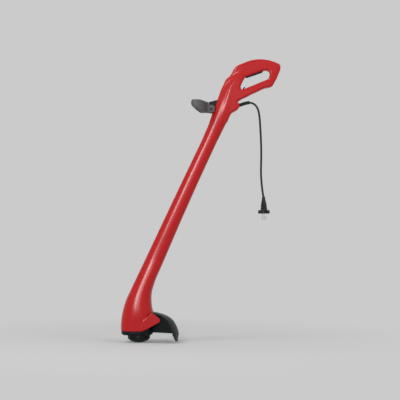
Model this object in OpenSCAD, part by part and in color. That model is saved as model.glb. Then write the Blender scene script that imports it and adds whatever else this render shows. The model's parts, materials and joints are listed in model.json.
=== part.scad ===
// Corded string trimmer: slim clamshell housing with a loop handle, a motor in the lower
// head, a bump-feed line spool, a rear guard with a line cutter and a tilting front handle.
// X points to the operator, Y to the operator's right, Z up along the spool spindle.

/* [Housing] */
// Wall thickness of the moulded housing halves
wall = 2.6; // [2.2:0.1:2.8]
// Half width of the motor head at its widest
head_half_w = 46; // [45:0.5:48]
// Half width of the shaft half way up
shaft_half_w = 21.5; // [20:0.5:23]
// Half width of the loop handle
grip_half_w = 17; // [16.5:0.5:18]

/* [Cutting head] */
// Outer radius of the spool head
spool_r = 36; // [35.5:0.25:36.5]
// Radius of the bump knob
knob_r = 17; // [16:0.5:18]
// Diameter of the cutting line
line_d = 1.4; // [1.2:0.1:1.6]

/* [Guard] */
// Radius of the guard's rear wall about the spool axis
guard_r = 128; // [124:1:130]
// Half of the angle that the guard spans
guard_half_angle = 30; // [28:1:32]
// Wall thickness of the guard
guard_t = 2.5; // [2:0.1:3]

/* [Front handle] */
// Half width of the bow
bow_half_w = 63; // [60:1:65]
// Radius of the clamping knob
clamp_knob_r = 11.5; // [11:0.25:12]

/* [Cord] */
// Diameter of the power cord
cord_d = 6.4; // [6:0.2:7]

/* [Hidden] */

// The frame's origin: the centre of the rear grip, measured from the point where the
// spool axis meets the ground. Everything below is drawn from that ground point.
GRIP = [371.5, 0, 883];

SMOOTH = 48;
FINE = 24;
COARSE = 14;           // sides of the round features moulded inside the housing
SECTION_STEPS = 24;   // points round one housing section
SQUARENESS = 2.6;     // superellipse power of a housing section
RUN = 0.05;           // radial clearance of a running fit
shaft_r = 3;          // radius of the motor shaft
bolt_r = 3;           // radius of the front handle's bolt
pin_d = 4.8;          // the plug's pins follow the plug standard
pin_len = 19;

// Front edge, rear edge and half width of the shaft, each against height
FRONT = [
    [37, -57], [56, -58], [80, -55.5], [101, -51.5], [133, -42.5], [165, -27.5],
    [261, 18.5], [389, 79], [517, 139.5], [645, 201], [709, 228.5], [773, 251.5],
    [824, 271.5], [846, 289]
];
REAR = [
    [37, 46], [80, 46.5], [101, 45.5], [116, 41.5], [144, 40], [165, 42.5], [197, 52.5],
    [261, 80.5], [389, 135.5], [517, 192.5], [613, 237], [645, 252], [709, 284],
    [745, 302], [790, 318], [824, 322], [846, 334]
];
HALF_W = [
    [37, head_half_w - 2], [80, head_half_w], [101, head_half_w - 0.6],
    [133, head_half_w - 4.4], [165, head_half_w - 9], [197, shaft_half_w + 11.1],
    [229, shaft_half_w + 6.8], [261, shaft_half_w + 3.3], [300, shaft_half_w + 1.9],
    [389, shaft_half_w + 1], [581, shaft_half_w - 1.5], [709, shaft_half_w - 2],
    [773, shaft_half_w - 3], [846, grip_half_w - 0.5]
];
LEVELS = [37, 56, 80, 101, 116, 133, 148, 165, 197, 229, 261, 325, 389, 517, 645, 709, 745, 790, 824, 846];

// Side outline of the loop handle and its finger opening
LOOP = [
    [225, 700], [234, 728], [251, 773], [262, 805], [271, 824], [276, 836], [281, 843],
    [290, 850], [297, 859], [302, 870], [309, 879.5], [318, 885.5], [333, 891.5],
    [349, 898], [362, 901.5], [380, 904], [395, 904], [416, 901], [436, 894.5],
    [450, 888.5], [453, 882], [452, 870], [446, 856], [441, 843], [436, 834],
    [427, 818], [419, 814], [402, 811], [388, 805], [374, 798], [360, 792], [350, 786],
    [334, 779], [323, 773], [314, 766], [322, 763], [322, 753], [317, 744], [308, 738],
    [299, 733.5], [293, 728], [290, 722], [285, 709], [281, 700]
];
OPENING = [
    [330, 806], [349, 814], [374, 824], [396, 833.5], [413, 840], [415.5, 846],
    [418, 853], [418, 861], [412.5, 867], [402, 868], [396, 866.5], [341, 847.5],
    [335, 838.5], [331, 831], [327, 822], [325, 816], [326.5, 809]
];
// The loop's rounding: how far each layer of the outline is drawn in, and its share of
// the half width
LAYERS = [[0, 0.55], [2, 0.8], [6, 1]];

// Housing screws: x and height
SHAFT_SCREW_LEVELS = [205, 300, 400, 500, 600, 690];
SCREWS = concat(
    [[-47, 72], [30, 162], [300, 812], [324, 858], [436, 876], [400, 823], [345, 798]],
    [for (z = SHAFT_SCREW_LEVELS) [mid_x(z), z]]
);
SCREW_R = 1.9;
SCREW_HEAD_R = 3.8;
GUARD_SCREWS = [[-46, -14], [-46, 14], [26, -35], [26, 35]];

PIVOT = [231, 745];            // front handle's bolt, x and height
TRIGGER_PIVOT = [346, 858];
BRUSH_LEVEL = 138;
STATOR = [86, 122];            // height range of both lamination stacks
COIL = [16.5, 21.6];           // inner and outer radius of a field coil
SLOTS = 12;                    // armature slots, and commutator bars
MOTOR_SCREW_X = 24.6;
MOTOR_SCREW_HOLE = 1.6;
LOWER_PLATE = [64, 67];        // height range and radius of the motor brackets
LOWER_PLATE_R = 38;
UPPER_PLATE = [146, 149];
UPPER_PLATE_R = 29;
POCKET = [[220, 731.8], [262.2, 773.7]];  // seat of the handle bracket, two corners
TRIGGER_PIN_R = 1.5;
CLAMP_X = 303;                 // the cable clamp's screws
CLAMP_LEVELS = [744.5, 759.5];
KNOB_FACE = [18.4, 32];        // inner and outer face of the clamping knob
LEAD_R = 1.2;
LEAD_Y = 9;
EYELET_LEVEL = 22.5;
SPRING_FOOT = 18;              // where the spool spring stands on its washer
REEL_BORE = 6;                 // the reel slides on the spool housing's hub
CUTTER_TURN = -16;             // the line cutter's place round the guard, from X
CUTTER_LEVEL = 15;
LINE_CUTTER_HOLE = 1.6;
PLUNGER_X = 363;
PLUNGER_R = 2;

// The free cord's route, x and height, from the sleeve's tip to the plug
CORD_ROUTE = [
    [354, 766], [363, 764.5], [371, 760], [377, 753], [381, 745], [383.5, 736],
    [385.5, 724], [387, 710], [388, 694], [389, 676], [390, 656], [391, 634],
    [391.5, 612], [391.5, 590], [391, 568], [390.5, 548], [391, 528], [392.5, 508],
    [394.5, 490], [396.5, 475], [398, 466]
];
SLEEVE_ROUTE = [[316, 755.5], [325, 758.5], [335, 762], [345, 764.8], [354, 766]];
PLUG = [400, 0, 392];          // the pin tips' level, on the plug's axis
PLUG_TURN = 24;                // the line through the pins, from Y
PIN_SPACING = 19;

function front_x(z) = lookup(z, FRONT);
function rear_x(z) = lookup(z, REAR);
function half_w(z) = lookup(z, HALF_W);
function mid_x(z) = (front_x(z) + rear_x(z)) / 2;
function super(c) = sign(c) * pow(abs(c), 2 / SQUARENESS);
function oval(cx, a, b, z) = [
    for (i = [0:SECTION_STEPS - 1]) let (t = 360 * (i + 0.5) / SECTION_STEPS)
        [cx + a * super(cos(t)), b * super(sin(t)), z]
];
function section(z, inset) = oval(
    mid_x(z), (rear_x(z) - front_x(z)) / 2 - inset, half_w(z) - inset, z
);
function unit(v) = v / norm(v);
// A ring of the tube round point i of a path; ref is any direction the path never takes
function tube_ring(path, i, r, ref, sides) = let (
    ahead = path[min(i + 1, len(path) - 1)],
    behind = path[max(i - 1, 0)],
    along = unit(ahead - behind),
    u = unit(cross(ref, along)),
    v = cross(along, u)
) [
    for (k = [0:sides - 1]) let (t = 360 * (k + 0.5) / sides) path[i] + r * (cos(t) * u + sin(t) * v)
];
function in_plane(route, y = 0) = [for (p = route) [p[0], y, p[1]]];
// A curve drawn in by d towards the side on its left
function inset_curve(p, d) = [
    for (i = [0:len(p) - 1]) let (t = unit(p[min(i + 1, len(p) - 1)] - p[max(i - 1, 0)]))
        p[i] + d * [-t[1], t[0]]
];
function reversed(p) = [for (i = [len(p) - 1:-1:0]) p[i]];

// Moves what is drawn from the ground point to the frame
module placed() {
    translate(-GRIP) children();
}

// A closed solid through rings that each run anticlockwise seen from the last ring
module loft(rings) {
    n = len(rings[0]);
    top = (len(rings) - 1) * n;
    sides = [
        for (k = [0:len(rings) - 2], i = [0:n - 1]) let (a = k * n + i, b = k * n + (i + 1) % n)
            each [[a, a + n, b + n], [a, b + n, b]]
    ];
    low = [for (i = [0:n / 2 - 2]) each [[i, i + 1, n - 2 - i], [i, n - 2 - i, n - 1 - i]]];
    high = [for (f = low) [top + f[2], top + f[1], top + f[0]]];
    polyhedron([for (r = rings) each r], concat(sides, low, high));
}

module tube(path, r, ref = [0, 1, 0], sides = 8) {
    loft([for (i = [0:len(path) - 1]) tube_ring(path, i, r, ref, sides)]);
}

module coil_spring(r, wire_r, z0, z1, turns, steps = 10) {
    n = turns * steps;
    rise = (z1 - z0 - 2 * wire_r) / n;
    path = [
        for (i = [0:n]) let (a = 360 * i / steps) [r * cos(a), r * sin(a), z0 + wire_r + rise * i]
    ];
    tube(path, wire_r, [0, 0, 1], 6);
}

// A side outline (x, height) given thickness from y0 to y1
module slab(y0, y1) {
    translate([0, y1, 0]) rotate([90, 0, 0]) linear_extrude(y1 - y0) children();
}

module cross_rod(x, z, r, y0, y1, sides = FINE) {
    translate([x, y0, z]) rotate([-90, 0, 0]) cylinder(h = y1 - y0, r = r, $fn = sides);
}

module tube_ring_solid(r_in, r_out, z0, z1) {
    translate([0, 0, z0]) difference() {
        cylinder(h = z1 - z0, r = r_out, $fn = SMOOTH);
        translate([0, 0, -1]) cylinder(h = z1 - z0 + 2, r = r_in, $fn = SMOOTH);
    }
}

module sector(r_in, r_out, z0, z1, centre, half) {
    rotate([0, 0, centre - half]) rotate_extrude(angle = 2 * half, $fn = SMOOTH)
        translate([r_in, z0]) square([r_out - r_in, z1 - z0]);
}

/* Housing */

module shaft_form(inset) {
    drop = inset > 0 ? 1 : 0;
    loft([for (z = LEVELS) [for (p = section(z, inset)) [p[0], p[1], z == LEVELS[0] ? z - drop : z]]]);
}

module loop_form(inset) {
    for (layer = LAYERS) {
        half = layer[1] * grip_half_w - inset;
        slab(-half, half) offset(delta = -layer[0] - inset) difference() {
            polygon(LOOP);
            polygon(OPENING);
        }
    }
}

// The skirt behind the head that straddles the guard's neck, one wing a side
module wings() {
    for (s = [-1, 1]) hull() {
        slab(s * 42.5 - 1.8, s * 42.5 + 1.8) polygon([
            [6, 41], [18, 40.5], [30, 46], [46, 55], [66.5, 66], [69, 70], [68, 77], [44, 96.5], [14, 70]
        ]);
        slab(s * 40.5 - 1.6, s * 40.5 + 1.6)
            polygon([[10, 45], [30, 49], [62, 67], [63, 75], [43, 92], [12, 70]]);
    }
}

// A boss across the housing with a stiffening rib on it
module boss(x, z, r) {
    hull() {
        cross_rod(x, z, r, -60, 60, COARSE);
        translate([x - 0.6, -60, z - r - 3]) cube([1.2, 120, 2 * r + 6]);
    }
}

// A ledge in the shell with a groove for a motor bracket's rim
module bracket_seat(plate, seat_r, clear_r) {
    z0 = plate[0];
    z1 = plate[1];
    difference() {
        intersection() {
            shaft_form(wall / 2);
            translate([-100, -100, z0 - 3]) cube([200, 200, z1 - z0 + 6]);
        }
        translate([0, 0, z0 - 0.1]) cylinder(h = z1 - z0 + 0.2, r = seat_r + 0.2, $fn = SMOOTH);
        translate([0, 0, z0 - 4]) cylinder(h = z1 - z0 + 8, r = clear_r, $fn = SMOOTH);
    }
}

module housing_inside() {
    bracket_seat(LOWER_PLATE, LOWER_PLATE_R, 34);
    bracket_seat(UPPER_PLATE, UPPER_PLATE_R, 25);
    intersection() {
        union() {
            for (s = SCREWS) boss(s[0], s[1], SCREW_R + 2.6);
            for (s = [-1, 1]) cross_rod(TRIGGER_PIVOT[0], TRIGGER_PIVOT[1], 4, s * 12 - 4, s * 12 + 4);
            translate([380, -20, 885.2]) cube([12, 40, 2.4]);
            for (p = GUARD_SCREWS) translate([p[0], p[1], 37]) {
                cylinder(h = 14, r = 4.6, $fn = COARSE);
                if (p[0] < 0) translate([-8, -1, 0]) cube([8, 2, 14]);
            }
            for (z = CLAMP_LEVELS) cross_rod(CLAMP_X, z, 2.8, -18, -0.4);
        }
        union() {
            shaft_form(0.4);
            loop_form(0.4);
        }
    }
}

module housing_cuts() {
    for (s = SCREWS) {
        cross_rod(s[0], s[1], SCREW_R, -12, 1, COARSE);
        cross_rod(s[0], s[1], SCREW_R + 0.3, -0.5, 60, COARSE);
        cross_rod(s[0], s[1], SCREW_HEAD_R + 0.3, screw_seat(s), 60, COARSE);
    }
    for (p = GUARD_SCREWS) translate([p[0], p[1], 30]) cylinder(h = 18, r = 1.7, $fn = COARSE);
    for (s = [-1, 1]) translate([s * MOTOR_SCREW_X, 0, 142]) cylinder(h = 12, r = 3.3, $fn = FINE);
    // trigger slot, pin seats and cooling slots
    slab(-8, 8) polygon([[337, 842], [400, 862], [399.5, 878], [338, 864]]);
    cross_rod(TRIGGER_PIVOT[0], TRIGGER_PIVOT[1], TRIGGER_PIN_R, -11.5, 11.5);
    for (z = [106:7:141]) translate([30, -17, z]) cube([25, 34, 3]);
    // seat of the front handle's bracket, and room for the lugs beside it
    slab(-9.2, 9.2) translate(POCKET[0]) square(POCKET[1] - POCKET[0]);
    for (s = [-1, 1]) cross_rod(PIVOT[0], PIVOT[1], 14.4, s * 14.5 - 5.5, s * 14.5 + 5.5);
    // cable sleeve and its flange
    cable_axis() translate([0, 0, -6]) cylinder(h = 30, r = 5.8, $fn = FINE);
    cable_axis() translate([0, 0, -6]) cylinder(h = 7.2, r = 7.7, $fn = FINE);
    for (z = CLAMP_LEVELS) cross_rod(CLAMP_X, z, 1.1, -8, 4);
}

function screw_seat(s) = s[1] > 790 ? grip_half_w - 6 : half_w(s[1]) * (s[1] < 100 ? 0.62 : 0.9) - 6;

// Along the sleeve, from its flange outwards
module cable_axis() {
    translate([316, 0, 755.5]) rotate([0, 72, 0]) children();
}

module housing_half(side) {
    intersection() {
        difference() {
            union() {
                difference() {
                    union() {
                        shaft_form(0);
                        loop_form(0);
                        wings();
                    }
                    shaft_form(wall);
                    loop_form(wall);
                }
                housing_inside();
            }
            housing_cuts();
        }
        translate([-200, side > 0 ? 0 : -100, 0]) cube([800, 100, 1000]);
    }
}

module left_housing() {
    color("firebrick") placed() housing_half(-1);
}

module right_housing() {
    color("firebrick") placed() housing_half(1);
}

module housing_screws() {
    color("silver") placed() for (s = SCREWS) {
        seat = screw_seat(s);
        difference() {
            cross_rod(s[0], s[1], SCREW_HEAD_R, seat, seat + 2.6);
            translate([s[0] - 0.5, seat + 1.4, s[1] - 2.4]) cube([1, 2, 4.8]);
            translate([s[0] - 2.4, seat + 1.4, s[1] - 0.5]) cube([4.8, 2, 1]);
        }
        cross_rod(s[0], s[1], SCREW_R, -10, seat + 0.5);
    }
}

/* Motor */

module stator_core() {
    color("slategray") placed() difference() {
        union() {
            tube_ring_solid(22, 27, STATOR[0], STATOR[1]);
            for (pole = [90, 270]) sector(15.2, 22.5, STATOR[0], STATOR[1], pole, 46);
        }
        for (s = [-1, 1]) translate([s * MOTOR_SCREW_X, 0, 80])
            cylinder(h = 50, r = MOTOR_SCREW_HOLE, $fn = FINE);
    }
}

module field_coils() {
    color("chocolate") placed() for (pole = [90, 270]) difference() {
        sector(COIL[0], COIL[1], 80, 128, pole, 84);
        sector(COIL[0] - 1, COIL[1] + 1, 85.4, 122.6, pole, 49);
    }
}

module lower_bracket() {
    color("lightgray") placed() difference() {
        union() {
            translate([0, 0, LOWER_PLATE[0]]) cylinder(h = 3, r = LOWER_PLATE_R, $fn = SMOOTH);
            translate([0, 0, 57]) cylinder(h = 8, r = 13, $fn = SMOOTH);
        }
        translate([0, 0, 56]) cylinder(h = 9.5, r = 9.5, $fn = SMOOTH);
        translate([0, 0, 60]) cylinder(h = 10, r = 5, $fn = SMOOTH);
        for (a = [45:90:315]) rotate([0, 0, a]) translate([24, 0, 60]) cylinder(h = 10, r = 7, $fn = SMOOTH);
        for (s = [-1, 1]) translate([s * MOTOR_SCREW_X, 0, 60])
            cylinder(h = 10, r = MOTOR_SCREW_HOLE, $fn = FINE);
    }
}

module upper_bracket() {
    color("lightgray") placed() difference() {
        union() {
            intersection() {
                translate([0, 0, UPPER_PLATE[0]]) cylinder(h = 3, r = UPPER_PLATE_R, $fn = SMOOTH);
                translate([-30, -9, 145]) cube([60, 18, 5]);
            }
            translate([0, 0, 146]) cylinder(h = 10, r = 8.5, $fn = SMOOTH);
        }
        translate([0, 0, 147]) cylinder(h = 10, r = 6, $fn = SMOOTH);
        translate([0, 0, 140]) cylinder(h = 10, r = 4, $fn = SMOOTH);
        for (s = [-1, 1]) translate([s * MOTOR_SCREW_X, 0, 140])
            cylinder(h = 12, r = MOTOR_SCREW_HOLE, $fn = FINE);
    }
}

module motor_screws() {
    color("silver") placed() for (s = [-1, 1]) translate([s * MOTOR_SCREW_X, 0, 0]) {
        translate([0, 0, 62]) cylinder(h = 87.5, r = 1.5, $fn = FINE);
        translate([0, 0, 149]) cylinder(h = 2.4, r = 2.9, $fn = FINE);
        translate([0, 0, 67]) cylinder(h = 2, r = 2.4, $fn = FINE);
    }
}

module lower_bearing() {
    color("gainsboro") placed() tube_ring_solid(shaft_r + RUN, 9.5, 58, 65.5);
}

module upper_bush() {
    color("goldenrod") placed() tube_ring_solid(shaft_r + RUN, 6, 147, 156);
}

module brush_parts(y0, y1, dx, dz) {
    for (turn = [0, 180]) rotate([0, 0, turn])
        translate([-dx / 2, y0, BRUSH_LEVEL - dz / 2]) cube([dx, y1 - y0, dz]);
}

module brush_holders() {
    color("goldenrod") placed() difference() {
        brush_parts(12, 27, 7.6, 9);
        brush_parts(11, 26, 5.2, 6.6);
    }
}

module carbon_brushes() {
    color("dimgray") placed() brush_parts(8.7, 18, 5, 6.4);
}

module brush_springs() {
    color("silver") placed() for (s = [-1, 1]) translate([0, 0, BRUSH_LEVEL]) rotate([s * -90, 0, 0])
        coil_spring(1.8, 0.3, 18, 26, 4);
}

module motor_shaft() {
    color("silver") placed() translate([0, 0, 8]) cylinder(h = 151, r = shaft_r, $fn = SMOOTH);
}

module armature_core() {
    color("slategray") placed() difference() {
        tube_ring_solid(shaft_r, 14.6, STATOR[0], STATOR[1]);
        for (k = [0:SLOTS - 1]) rotate([0, 0, 360 * k / SLOTS]) translate([9, -1.2, 80]) cube([8, 2.4, 50]);
    }
}

module armature_windings() {
    color("chocolate") placed() {
        tube_ring_solid(shaft_r + 1, 13.2, STATOR[0] - 5.5, STATOR[0]);
        tube_ring_solid(shaft_r + 1, 13.2, STATOR[1], STATOR[1] + 7);
        for (k = [0:SLOTS - 1]) rotate([0, 0, 360 * k / SLOTS])
            translate([9.2, -1, STATOR[0] - 1]) cube([3.8, 2, STATOR[1] - STATOR[0] + 2]);
    }
}

module commutator() {
    color("peru") placed() difference() {
        tube_ring_solid(shaft_r, 8.5, 131, 144);
        for (k = [0:SLOTS - 1]) rotate([0, 0, 360 * k / SLOTS])
            translate([7.7, -0.25, 133]) cube([2, 0.5, 12]);
    }
}

module cooling_fan() {
    color("darkslategray") placed() {
        tube_ring_solid(shaft_r, 6, 69, 78);
        tube_ring_solid(shaft_r, 21.5, 76.5, 78);
        for (k = [0:9]) rotate([0, 0, 36 * k])
            translate([5.5, 0, 69.5]) rotate([0, 0, 12]) cube([15.5, 1.2, 7.2]);
    }
}

/* Spool head */

module spool_housing() {
    color("black") placed() difference() {
        rotate_extrude($fn = SMOOTH) polygon([
            [shaft_r, 11], [REEL_BORE, 11], [REEL_BORE, 30.5], [spool_r - 2.6, 30.5], [spool_r - 2.6, 15],
            [spool_r, 15], [spool_r, 30], [spool_r - 3, 33], [shaft_r, 33]
        ]);
        for (s = [-1, 1]) cross_rod(0, EYELET_LEVEL, 3, s * spool_r - 5, s * spool_r + 5);
    }
}

module spool_cover() {
    color("black") placed() rotate_extrude($fn = SMOOTH) polygon([
        [knob_r + 0.5, 2.2], [22, 3.2], [28, 6], [33, 9.5], [spool_r, 13.5], [spool_r, 15],
        [spool_r - 2.8, 15], [spool_r - 2.8, 18], [spool_r - 4.4, 18], [spool_r - 4.4, 13.5],
        [27, 8.6], [21.5, 5.8], [knob_r + 0.5, 5]
    ]);
}

module drive_nut() {
    color("silver") placed() difference() {
        translate([0, 0, 8]) cylinder(h = 3, r = 5.5, $fn = 6);
        translate([0, 0, 7]) cylinder(h = 5, r = shaft_r, $fn = SMOOTH);
    }
}

module line_eyelets() {
    color([0.12, 0.12, 0.12]) placed() for (s = [-1, 1]) difference() {
        union() {
            cross_rod(0, EYELET_LEVEL, 3, s * (spool_r - 0.5) - 2.6, s * (spool_r - 0.5) + 2.6);
            cross_rod(0, EYELET_LEVEL, 4.2, s * (spool_r + 1) - 0.9, s * (spool_r + 1) + 0.9);
        }
        cross_rod(0, EYELET_LEVEL, 1.2, s * spool_r - 6, s * spool_r + 6);
    }
}

module cutting_line() {
    color([0.18, 0.18, 0.18]) placed() for (s = [-1, 1])
        cross_rod(0, EYELET_LEVEL, line_d / 2, s * 37.5 - 8.5, s * 37.5 + 8.5);
}

module spool_spring() {
    color("silver") placed() coil_spring(8.4, 0.6, SPRING_FOOT, 30.4, 4, 12);
}

module spring_washer() {
    color("silver") placed() tube_ring_solid(6.4, 10.6, SPRING_FOOT - 0.9, SPRING_FOOT);
}

module line_reel() {
    color([0.12, 0.12, 0.12]) placed() rotate_extrude($fn = SMOOTH) polygon([
        [0, 0], [knob_r - 3, 0], [knob_r, 2.5], [knob_r, 10], [28, 10], [28, 11.5], [13.5, 11.5],
        [13.5, 22.5], [28, 22.5], [28, 24], [11.2, 24], [11.2, 17], [REEL_BORE + RUN, 17],
        [REEL_BORE + RUN, 12],
        [8, 12], [8, 2.8], [0, 2.8]
    ]);
}

module wound_line() {
    color([0.18, 0.18, 0.18]) placed() rotate_extrude($fn = SMOOTH) difference() {
        translate([13.5, 11.5]) square([12.5, 11]);
        for (k = [0:7]) translate([26.3, 11.5 + 11 * k / 7]) circle(r = 0.7, $fn = 16);
    }
}

/* Guard */

// The hood's radial profile: height against distance from the spool axis
HOOD = [
    [40, 96], [61, 94], [81, 88], [94, 82], [guard_r - 24, 75], [guard_r - 16, 67],
    [guard_r - 8, 53], [guard_r - 2, 38], [guard_r, 24]
];

module base_plate() {
    plate = oval(-5.5, 50.5, head_half_w - 3, 0);
    difference() {
        union() {
            translate([0, 0, 27]) linear_extrude(9.8) polygon([for (p = plate) [p[0], p[1]]]);
            translate([0, 0, 24]) linear_extrude(4)
                polygon([for (p = plate) [p[0] * 0.93 - 0.4, p[1] * 0.93]]);
        }
        translate([0, 0, 20]) cylinder(h = 14.4, r = spool_r + 2.5, $fn = SMOOTH);
        translate([0, 0, 20]) cylinder(h = 20, r = 12, $fn = SMOOTH);
        for (p = GUARD_SCREWS) translate([p[0], p[1], 20]) {
            cylinder(h = 20, r = 2, $fn = FINE);
            cylinder(h = 7, r = 3.6, $fn = FINE);
        }
    }
}

module guard() {
    neck = oval(-5.5, 52.3, head_half_w + 0.4, 0);
    tooth = [[-27, 32], [-24, 18], [-9, 5], [9, 4.5], [20, 12], [27, 32]];
    side = [for (i = [0:7]) inset_curve(HOOD, -guard_t / 2)[i]];
    color([0.13, 0.14, 0.15]) placed() {
        base_plate();
        difference() {
            union() {
                rotate([0, 0, -guard_half_angle]) rotate_extrude(angle = 2 * guard_half_angle, $fn = SMOOTH)
                    polygon(concat(HOOD, reversed(inset_curve(HOOD, -guard_t))));
                for (s = [0, 1]) mirror([0, s, 0]) rotate([0, 0, guard_half_angle]) slab(-guard_t, 0)
                    polygon(concat(side, [[guard_r - 3, 33.5], [42, 33.5]]));
                intersection() {
                    tube_ring_solid(guard_r - guard_t - 0.2, guard_r - 0.4, 0, 35);
                    rotate([0, 0, CUTTER_TURN]) translate([100, 0, 0]) rotate([90, 0, 90])
                        linear_extrude(40) polygon(tooth);
                }
            }
            translate([0, 0, 36.9]) linear_extrude(80) polygon([for (p = neck) [p[0], p[1]]]);
            rotate([0, 0, CUTTER_TURN]) translate([110, 0, CUTTER_LEVEL])
                rotate([0, 90, 0]) cylinder(h = 30, r = LINE_CUTTER_HOLE, $fn = FINE);
        }
    }
}

module guard_screws() {
    color([0.12, 0.12, 0.12]) placed() for (p = GUARD_SCREWS) translate([p[0], p[1], 0]) {
        translate([0, 0, 24.4]) cylinder(h = 2.6, r = 3.4, $fn = FINE);
        translate([0, 0, 26.5]) cylinder(h = 21, r = 1.8, $fn = FINE);
    }
}

module line_cutter() {
    color("silver") placed() rotate([0, 0, CUTTER_TURN]) difference() {
        translate([guard_r - 4, 0, 0]) rotate([90, 0, 90]) linear_extrude(1)
            polygon([[-9, 24], [-9, 9], [-6, 6], [8, 6], [8, 24]]);
        translate([guard_r - 10, 0, CUTTER_LEVEL]) rotate([0, 90, 0])
            cylinder(h = 10, r = LINE_CUTTER_HOLE, $fn = FINE);
    }
}

module cutter_screw() {
    color("silver") placed() rotate([0, 0, CUTTER_TURN])
        translate([guard_r - 6.2, 0, CUTTER_LEVEL]) rotate([0, 90, 0]) {
        cylinder(h = 2.2, r = 3, $fn = FINE);
        cylinder(h = 7.4, r = 1.5, $fn = FINE);
    }
}

/* Front handle */

module handle_bracket() {
    color([0.13, 0.14, 0.15]) placed() difference() {
        union() {
            cross_rod(PIVOT[0], PIVOT[1], 12.5, -9, 9);
            slab(-9, 9) polygon([
                [223, 757], [223, 767], [248, 773.5], [262, 773.5], [262, 732], [238, 732], [231, 732.6]
            ]);
        }
        cross_rod(PIVOT[0], PIVOT[1], bolt_r + RUN, -10, 10);
    }
}

module handle_bolt() {
    color([0.12, 0.12, 0.12]) placed() {
        cross_rod(PIVOT[0], PIVOT[1], bolt_r, -19, 30);
        cross_rod(PIVOT[0], PIVOT[1], 5, -22.3, -18.4);
    }
}

module front_handle() {
    bow = [
        [165, 50], [168, 58], [176, bow_half_w], [192, bow_half_w - 1], [204, 53], [212, 38],
        [216.5, 24], [218.5, 18], [246, 18]
    ];
    gap = [[183, 49], [190, 51], [198, 45], [203.5, 34], [206, 20]];
    color([0.3, 0.3, 0.32]) placed() difference() {
        intersection() {
            union() {
                slab(-70, 70) polygon([
                    [165, 764], [170, 773], [194, 773], [222, 767], [222, 733], [196, 736], [171.5, 756]
                ]);
                cross_rod(PIVOT[0], PIVOT[1], 13.5, -70, 70);
            }
            translate([0, 0, 700]) linear_extrude(100)
                polygon(concat(bow, reversed([for (p = bow) [p[0], -p[1]]])));
        }
        translate([0, 0, 690]) linear_extrude(120)
            polygon(concat(gap, reversed([for (p = gap) [p[0], -p[1]]])));
        translate([205, -9.4, 690]) cube([50, 18.8, 120]);
        cross_rod(PIVOT[0], PIVOT[1], bolt_r + RUN, -70, 70);
    }
}

module clamp_knob() {
    color("black") placed() difference() {
        union() {
            cross_rod(PIVOT[0], PIVOT[1], clamp_knob_r - 2.5, KNOB_FACE[0], KNOB_FACE[1]);
            for (k = [0:5]) translate([PIVOT[0], 0, PIVOT[1]]) rotate([0, 60 * k, 0])
                cross_rod(clamp_knob_r - 4, 0, 4, KNOB_FACE[0] + 2.6, KNOB_FACE[1]);
        }
        cross_rod(PIVOT[0], PIVOT[1], bolt_r + RUN, 10, 30.5);
    }
}

/* Switch gear */

module trigger() {
    color([0.12, 0.12, 0.12]) placed() difference() {
        slab(-7.5, 7.5) polygon([
            [341, 847], [343.5, 844], [394, 861.5], [397, 865], [393, 873], [350, 864], [341, 862]
        ]);
        cross_rod(TRIGGER_PIVOT[0], TRIGGER_PIVOT[1], TRIGGER_PIN_R + RUN, -10, 10);
    }
}

module trigger_pin() {
    color("silver") placed() cross_rod(TRIGGER_PIVOT[0], TRIGGER_PIVOT[1], TRIGGER_PIN_R, -11, 11);
}

module trigger_spring() {
    color("silver") placed() translate([386, 0, 0]) coil_spring(2.8, 0.4, 872.6, 885.1, 5, 8);
}

module switch_body() {
    color("black") placed() difference() {
        translate([350, -7, 875]) cube([26, 14, 18]);
        translate([PLUNGER_X, 0, 874]) cylinder(h = 6, r = PLUNGER_R + RUN, $fn = FINE);
    }
}

module switch_plunger() {
    color("white") placed() translate([PLUNGER_X, 0, 867.5]) cylinder(h = 9, r = PLUNGER_R, $fn = FINE);
}

// The leads keep to the front wall, and cross behind the front handle's bracket above the top
// screw of the shaft
function lead_x(z) = front_x(z) + 12 + 17 * max(0, min(1, (z - 706) / 24));

module motor_lead(side) {
    low = [[0, side * 20, 143.5], [0, side * 17, 156]];
    rise = [for (z = [each [200:60:680], 706, 730, 745]) [lead_x(z), side * LEAD_Y, z]];
    high = [for (p = [[283, 795], [293, 838], [313, 871], [350, 887]]) [p[0], side * LEAD_Y, p[1]]];
    tube(concat(low, rise, high), LEAD_R);
}

module motor_lead_brown() {
    color("saddlebrown") placed() motor_lead(1);
}

module motor_lead_blue() {
    color("royalblue") placed() motor_lead(-1);
}

module capacitor() {
    color("khaki") placed() translate([282, -5, 772]) cube([18, 10, 14]);
}

module terminal_block() {
    color("ivory") placed() difference() {
        translate([276, -6, 743]) cube([18, 12, 17]);
        for (z = [747.5, 755.5]) translate([270, 0, z]) rotate([0, 90, 0])
            cylinder(h = 14, r = 1.5, $fn = FINE);
    }
}

module mains_lead() {
    path = [[294.2, 749], [300, 750.5], [306, 752.4], [311, 754]];
    color("black") placed() tube(in_plane(path), cord_d / 2);
}

module cable_clamp() {
    color("dimgray") placed() difference() {
        translate([299, 3.3, 741.5]) cube([8, 2.6, 21]);
        for (z = CLAMP_LEVELS) cross_rod(CLAMP_X, z, 1.3, 0, 10);
    }
}

module clamp_screws() {
    color("silver") placed() for (z = CLAMP_LEVELS) {
        cross_rod(CLAMP_X, z, 1.2, -7, 6);
        cross_rod(CLAMP_X, z, 2.3, 5.9, 7.6);
    }
}

module cord_hook() {
    color("black") placed() slab(-4, 4) polygon([
        [331, 805.6], [333, 812], [336, 815.5], [341, 815], [340.5, 812.6], [337, 812.3], [336, 808]
    ]);
}

/* Cord */

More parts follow.
